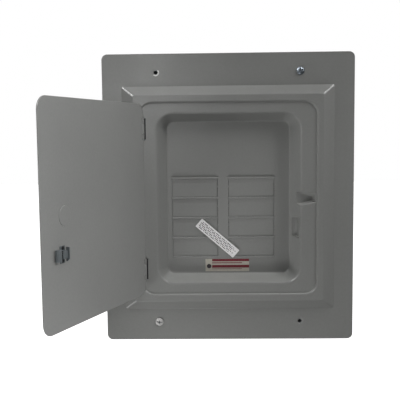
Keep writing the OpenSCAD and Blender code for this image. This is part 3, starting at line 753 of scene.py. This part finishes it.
# ---------------------------------------------------------------- cover screws
def pan_screw(x, z, tilt):
    """a combination-slot pan-head screw, its head 10 mm across, with a short shank"""
    profile = [(0.01, -10.9), (2.0, -10.9), (2.35, -10.3), (2.35, 0.0), (4.6, 0.0), (4.95, 0.25), (5.0, 0.7),
               (4.9, 1.3), (4.5, 1.9), (3.7, 2.45), (2.6, 2.8), (1.4, 2.95), (0.01, 3.0)]
    ob = plain_object("screw", *lathe(profile, (x, FRONT, z), "-Y", 40))
    slots = []
    for turn, length, deep in ((0, 7.6, 1.5), (90, 4.6, 1.9)):
        bar = plate(length, 1.15, 0.3, 3, 0.05, 2, 1)
        slots.append(plain_object("slot", *moved(bar, x, FRONT - 6 + deep, z, tilt + turn)))
    return solve(ob, slots, "DIFFERENCE")


def make_cover_screws():
    screws = [pan_screw(SCREW_X, SCREW_Z, 28), pan_screw(-SCREW_X, -SCREW_Z, -12)]
    bm = bmesh.new()
    for screw in screws:
        bm.from_mesh(screw.data)
        bpy.data.objects.remove(screw)
    mesh = bpy.data.meshes.new("trim_screws")
    bm.to_mesh(mesh)
    bm.free()
    ob = bpy.data.objects.new("trim_screws", mesh)
    scene.collection.objects.link(ob)
    finish_piece(ob, [DULL, CHALKY], "enclosure", ["cover_screws"], "zinc_plated_steel")
    # the lower screw is chalky all over; its slots keep the darker dull zinc as painted shade
    for face in mesh.polygons:
        x, y, z = face.center / MM
        slot_shade = y > FRONT - 2.4 and hypot(x + SCREW_X, z + SCREW_Z) < 3.6
        face.material_index = 1 if x < 0 and not slot_shade else 0


make_cover_screws()


# ---------------------------------------------------------------- hinges
def make_hinge(tag, middle):
    """a leaf with a knuckle at each end, standing on a strap behind the seat, and a headed pin"""
    pin_r, gap, strap = 0.8, 0.4, 0.8
    length = (HINGE_LEN - KNUCKLE_LEN) / 2 - gap
    edge, back = HINGE[X] - KNUCKLE_R, depth(SEAT_D) + SHEET
    parts = []
    for end in (-1, 1):
        foot = middle + end * (HINGE_LEN / 2 - length / 2) - length / 2
        parts.append(knuckle(pin_r, length, (HINGE[X], HINGE[Y], foot)))
        parts.append(block(edge, edge + strap, HINGE[Y], back + strap / 2, foot, foot + length))
    parts.append(moved(plate(15, HINGE_LEN, 1.5, strap, 0.15, 4, 2), edge + 7.5, back, middle))
    leaf = piece(tag + "_leaf", merge(*parts), [PAINT, NEAR_BLACK], "enclosure", [tag + "_hinge_leaf"],
                 "zinc_plated_steel")
    # painted shade: the strap is near-black where it shows through the cover's slot, standing in for the
    # shade in the gap
    for face in leaf.data.polygons:
        face.material_index = 1 if face.center.x / MM > HINGE[X] + 2 else 0
    low, high = middle - HINGE_LEN / 2 - 1, middle + HINGE_LEN / 2 + 0.8
    profile = [(0.01, low), (0.6, low), (pin_r, low + 0.3), (pin_r, high - 0.7), (1.4, high - 0.7),
               (1.4, high - 0.3), (1.0, high - 0.04), (0.01, high)]
    piece(tag + "_pin", lathe(profile, (HINGE[X], HINGE[Y], 0), "Z", 24), [PAINT], "enclosure",
          [tag + "_hinge_pin"], "zinc_plated_steel")


make_hinge("upper", HINGE_Z)
make_hinge("lower", -HINGE_Z)


# ---------------------------------------------------------------- door
def make_door():
    w, h, r = DOOR
    panel = moved(plate(w, h, r, SHEET, 0.4, 12, 3), w / 2, -INNER)
    ob = plain_object("door_sheet", *panel)
    cuts = [moved(window(8.8, HINGE_LEN + 2, 1.0), -1.0, -3, end * HINGE_Z) for end in (-1, 1)]
    cuts.append(lathe([(LOCK_HOLE / 2, -3), (LOCK_HOLE / 2, 3)], (LOCK_U, 0, LOCK_Z), "-Y", 64))
    cuts.append(moved(window(8, 6, 0.6, n=3), 170.3, -3, LATCH_Z))
    solve(ob, [plain_object("cuts", *merge(*cuts))], "DIFFERENCE")
    knuckles = []
    for end in (-1, 1):
        foot = end * HINGE_Z - KNUCKLE_LEN / 2
        knuckles.append(knuckle(0.86, KNUCKLE_LEN, (0, 0, foot)))
        knuckles.append(block(1.0, 3.9, -INNER, INNER, foot, foot + KNUCKLE_LEN))
    rolled = plain_object("rolled", *merge(*knuckles))
    bm = bmesh.new()
    bm.from_mesh(ob.data)
    bm.from_mesh(rolled.data)
    bpy.data.objects.remove(rolled)
    for v in bm.verts:
        v.co = Vector(door_place(v.co / MM)) * MM
    bm.to_mesh(ob.data)
    bm.free()
    finish_piece(ob, [LIT_DOOR_PAINT], "door", ["door_panel"], "painted_steel", soft=28, edge=0.2, limit=50)


def make_lock_disc():
    """the lock's knock-out, half sheared from the door's sheet"""
    sheared, d = 0.6, LOCK_HOLE - 0.06
    disc = moved(plate(d, d, LOCK_HOLE / 2 - 0.04, SHEET, 0.5, 16, 4), LOCK_U, -INNER + sheared, LOCK_Z)
    piece("lock_disc", disc, [LIT_DOOR_PAINT], "door", ["lock_knockout"], "painted_steel", place=door_place,
          soft=40)


make_door()
make_lock_disc()


# ---------------------------------------------------------------- latch
def door_prism(shape, u0, u1):
    """a prism along u, from (z, v) points with z from the latch's middle"""
    return loft([[(u, v, LATCH_Z + z) for z, v in shape] for u in (u0, u1)])


def make_latch_housing(u0, u1, t):
    """a hat-shaped strap over the bolt, open towards the door's edge"""
    reach, half, d = 8.8, 4.3, 4.4
    hat = [(-reach, INNER + t), (-half, INNER + t), (-half, INNER + d), (half, INNER + d), (half, INNER + t),
           (reach, INNER + t)]
    # the hat's front is its outer face, so v is turned round for bends() and back
    front, back = bends([(z, -v) for z, v in hat], [0.5] * 4, t, 3)
    strap = door_prism([(z, -q) for z, q in front + back[::-1]], u0, u1)
    wall = block(u0, u0 + t, INNER + 0.02, INNER + d - 0.3, LATCH_Z - half + 0.3, LATCH_Z + half - 0.3)
    piece("latch_cage", merge(strap, wall), [SHADED_ZINC], "door", ["latch_housing"], "zinc_plated_steel",
          place=door_place, edge=0.12)
    tail, head = -INNER, INNER + t
    profile = [(0.01, tail - 0.5), (1.2, tail - 0.48), (1.75, tail - 0.3), (1.9, tail), (1.2, tail),
               (1.2, head), (1.9, head), (1.8, head + 0.35), (1.2, head + 0.62), (0.01, head + 0.7)]
    rivets = [lathe(profile, (179.6, 0, LATCH_Z + side * 6.6), "Y", 24) for side in (-1, 1)]
    piece("cage_rivets", merge(*rivets), [NEAR_BLACK], "door", ["latch_rivets"], "zinc_plated_steel",
          place=door_place, soft=40)


def make_bolt(nose_u):
    """sliding bolt: a nose, a stem through the housing, a flag and a leg down to the thumb tab"""
    low, high = INNER + 0.3, INNER + 5.2
    side = [(nose_u, low), (192, low), (193, INNER + 1.2), (193, INNER + 3.6), (191.4, high), (nose_u, high)]
    nose = loft([[(u, v, LATCH_Z + z) for u, v in side] for z in (-6, 6)])
    stem = lathe([(0.01, 0), (0.6, 0), (0.8, 0.2), (0.8, 17.2), (0.01, 17.2)], (170.6, INNER + 2, LATCH_Z),
                 "X", 20)
    flag = door_prism([(-7.4, INNER + 2.0), (-7.4, INNER + 3.4), (-4.6, INNER + 6), (7.2, INNER + 6),
                       (7.2, INNER + 2.0)], 174.4, 175.4)
    leg = block(170.6, 173.0, INNER + 0.4, INNER + 2.4, LATCH_Z - 2, LATCH_Z + 2)
    piece("bolt", merge(nose, stem, flag, leg), [SHADED_ZINC], "latch", ["latch_slide"], "zinc_plated_steel",
          place=door_place, edge=0.15)


def make_thumb_tab():
    """ribbed tab outside the door, on a neck through its slot"""
    u = 171.3
    cap = moved(plate(11, 18, 1.6, 2, 0.6, 6, 3), u, -INNER - 2.4, LATCH_Z)
    neck = block(169.6, 174.0, -INNER - 0.45, INNER + 0.38, LATCH_Z - 2.6, LATCH_Z + 2.6)
    rib = plate(1.2, 16, 0.55, 1, 0.4, 4, 3)
    ribs = [moved(rib, u + 3 * k, -INNER - 3.2, LATCH_Z) for k in (-1, 0, 1)]
    piece("thumb_tab", merge(cap, neck, *ribs), [BLACK], "latch", ["latch_thumb_tab"], "black_moulding",
          place=door_place, soft=40, edge=0.15)


def make_latch_spring(u0, u1):
    """compression spring round the stem, from u0 to u1"""
    turns, steps, coil_r, wire_r, sides, travel = 5, 20, 1.25, 0.22, 8, 3
    start, end = u0 + wire_r + 0.05, u1 - wire_r - 0.05
    rings = []
    for k in range(turns * steps + 1):
        a = 2 * pi * k / steps
        ring = []
        for j in range(sides):
            b = 2 * pi * j / sides
            r = coil_r + wire_r * cos(b)
            ring.append((start + (end - start) * k / steps / turns + wire_r * sin(b),
                         INNER + 2 + r * cos(a), LATCH_Z + r * sin(a)))
        rings.append(ring)
    coil = piece("coil_spring", loft(rings), [SPRING], "door", ["latch_spring"], "spring_steel",
                 place=door_place, soft=60)
    anchor = Vector(door_place((start, INNER + 2, LATCH_Z))) * MM
    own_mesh(coil)


def make_latch():
    housing_u, housing_t, nose_u = 175.7, 0.8, 187
    make_latch_housing(housing_u, 183.6, housing_t)
    make_bolt(nose_u)
    make_thumb_tab()
    make_latch_spring(housing_u + housing_t, nose_u)


make_latch()


# ---------------------------------------------------------------- the box and its interior, kept from the CAD
LOOK = {
    "galvanised_steel": GALVANISED, "zinc_plated_steel": ZINC, "tin_plated_bus": TIN,
    "lug_aluminium": ALLOY, "black_moulding": BLACK, "white_moulding": WHITE, "green_screw": GREEN,
}


def finish_node(node, mat):
    """material and rounded edges; facets on one plane are joined first, so only true edges are bevelled"""
    node.data.materials.clear()
    node.data.materials.append(mat)
    weld = node.modifiers.new("weld", "WELD")
    weld.merge_threshold = 0.01 * MM
    flat = node.modifiers.new("flat", "DECIMATE")
    flat.decimate_type = "DISSOLVE"
    flat.angle_limit = radians(0.5)
    bevel(node, 0.4, 40)
    flats = node.modifiers.new("flats", "WEIGHTED_NORMAL")
    flats.keep_sharp = True


for entry in record["subparts"]:
    if not frame["nodes"][entry["node"]].hide_render:
        finish_node(frame["nodes"][entry["node"]], LOOK[entry["material_slot"]])


# ---------------------------------------------------------------- floor, world and light
def add_floor():
    """a pale floor just under the part, seen by the camera only"""
    size, z = 3000, (cad_low.z - 0.001) / MM
    floor = plain_object("floor", [(-size, -size, z), (size, -size, z), (size, size, z), (-size, size, z)],
                         [(0, 1, 2, 3)])
    mat, tree, bsdf = new_material("pale_floor")
    bsdf.inputs["Base Color"].default_value = (0.8, 0.8, 0.8, 1)
    bsdf.inputs["Roughness"].default_value = 0.8
    bsdf.inputs["Emission Color"].default_value = (1, 1, 1, 1)
    bsdf.inputs["Emission Strength"].default_value = 1.0
    floor.data.materials.append(mat)
    floor.visible_diffuse = False
    floor.visible_glossy = False
    floor.visible_shadow = False


def add_world():
    """white where the camera sees it; it lights the part from behind, and not from in front"""
    world = bpy.data.worlds.new("studio")
    scene.world = world
    world.use_nodes = True
    tree = world.node_tree
    glow = tree.nodes["Background"]
    seen = tree.nodes.new("ShaderNodeBackground")
    for background in (glow, seen):
        background.inputs["Color"].default_value = (1, 1, 1, 1)
    seen.inputs["Strength"].default_value = 1.0
    split = tree.nodes.new("ShaderNodeSeparateXYZ")
    tree.links.new(tree.nodes.new("ShaderNodeTexCoord").outputs["Generated"], split.inputs["Vector"])
    tree.links.new(span(tree, split.outputs["Y"], -0.1, 0.4, 0, 0.69), glow.inputs["Strength"])
    path = tree.nodes.new("ShaderNodeLightPath")
    mix = tree.nodes.new("ShaderNodeMixShader")
    tree.links.new(path.outputs["Is Camera Ray"], mix.inputs["Fac"])
    tree.links.new(glow.outputs["Background"], mix.inputs[1])
    tree.links.new(seen.outputs["Background"], mix.inputs[2])
    tree.links.new(mix.outputs["Shader"], tree.nodes["World Output"].inputs["Surface"])


def add_light(name, pos, size, power, gives="both"):
    """a round lamp aimed at the cover; "matt" gives no highlights and "gloss" nothing but highlights"""
    data = bpy.data.lights.new(name, "AREA")
    data.shape = "DISK"
    data.size = size
    data.energy = power
    ob = bpy.data.objects.new(name, data)
    scene.collection.objects.link(ob)
    ob.location = pos
    ob.visible_camera = False
    ob.visible_diffuse = gives != "gloss"
    ob.visible_glossy = gives != "matt"
    ob.rotation_euler = (Vector((0, -0.1, 0)) - Vector(pos)).to_track_quat("-Z", "Y").to_euler()


add_floor()
add_world()
add_light("key", (2.0, -1.2, 1.6), 0.8, 25.0, "matt")
add_light("key_low", (2.2, -1.6, 0.8), 0.8, 3.2)
add_light("rake", (1.0, -0.12, 0.6), 0.4, 2.3)
add_light("side_left", (-0.9, -0.35, 0.3), 0.4, 1.2, "matt")
add_light("top", (-0.2, -0.5, 1.1), 0.5, 2.1)
add_light("near_centre", (-0.15, -0.6, 0.15), 0.2, 0.40)
add_light("near_right", (-0.05, -0.6, -0.1), 0.2, 0.10)
add_light("low_left", (-0.9, -0.7, -0.9), 0.5, 5.2)
add_light("low_centre", (-0.1, -0.5, -0.6), 0.3, 0.97)
add_light("gloss_left", (-0.8, -0.7, 0.9), 0.5, 17.0, "gloss")
add_light("gloss_right", (0.7, -0.7, 0.9), 0.5, 10.0, "gloss")
scene.view_settings.view_transform = "Standard"
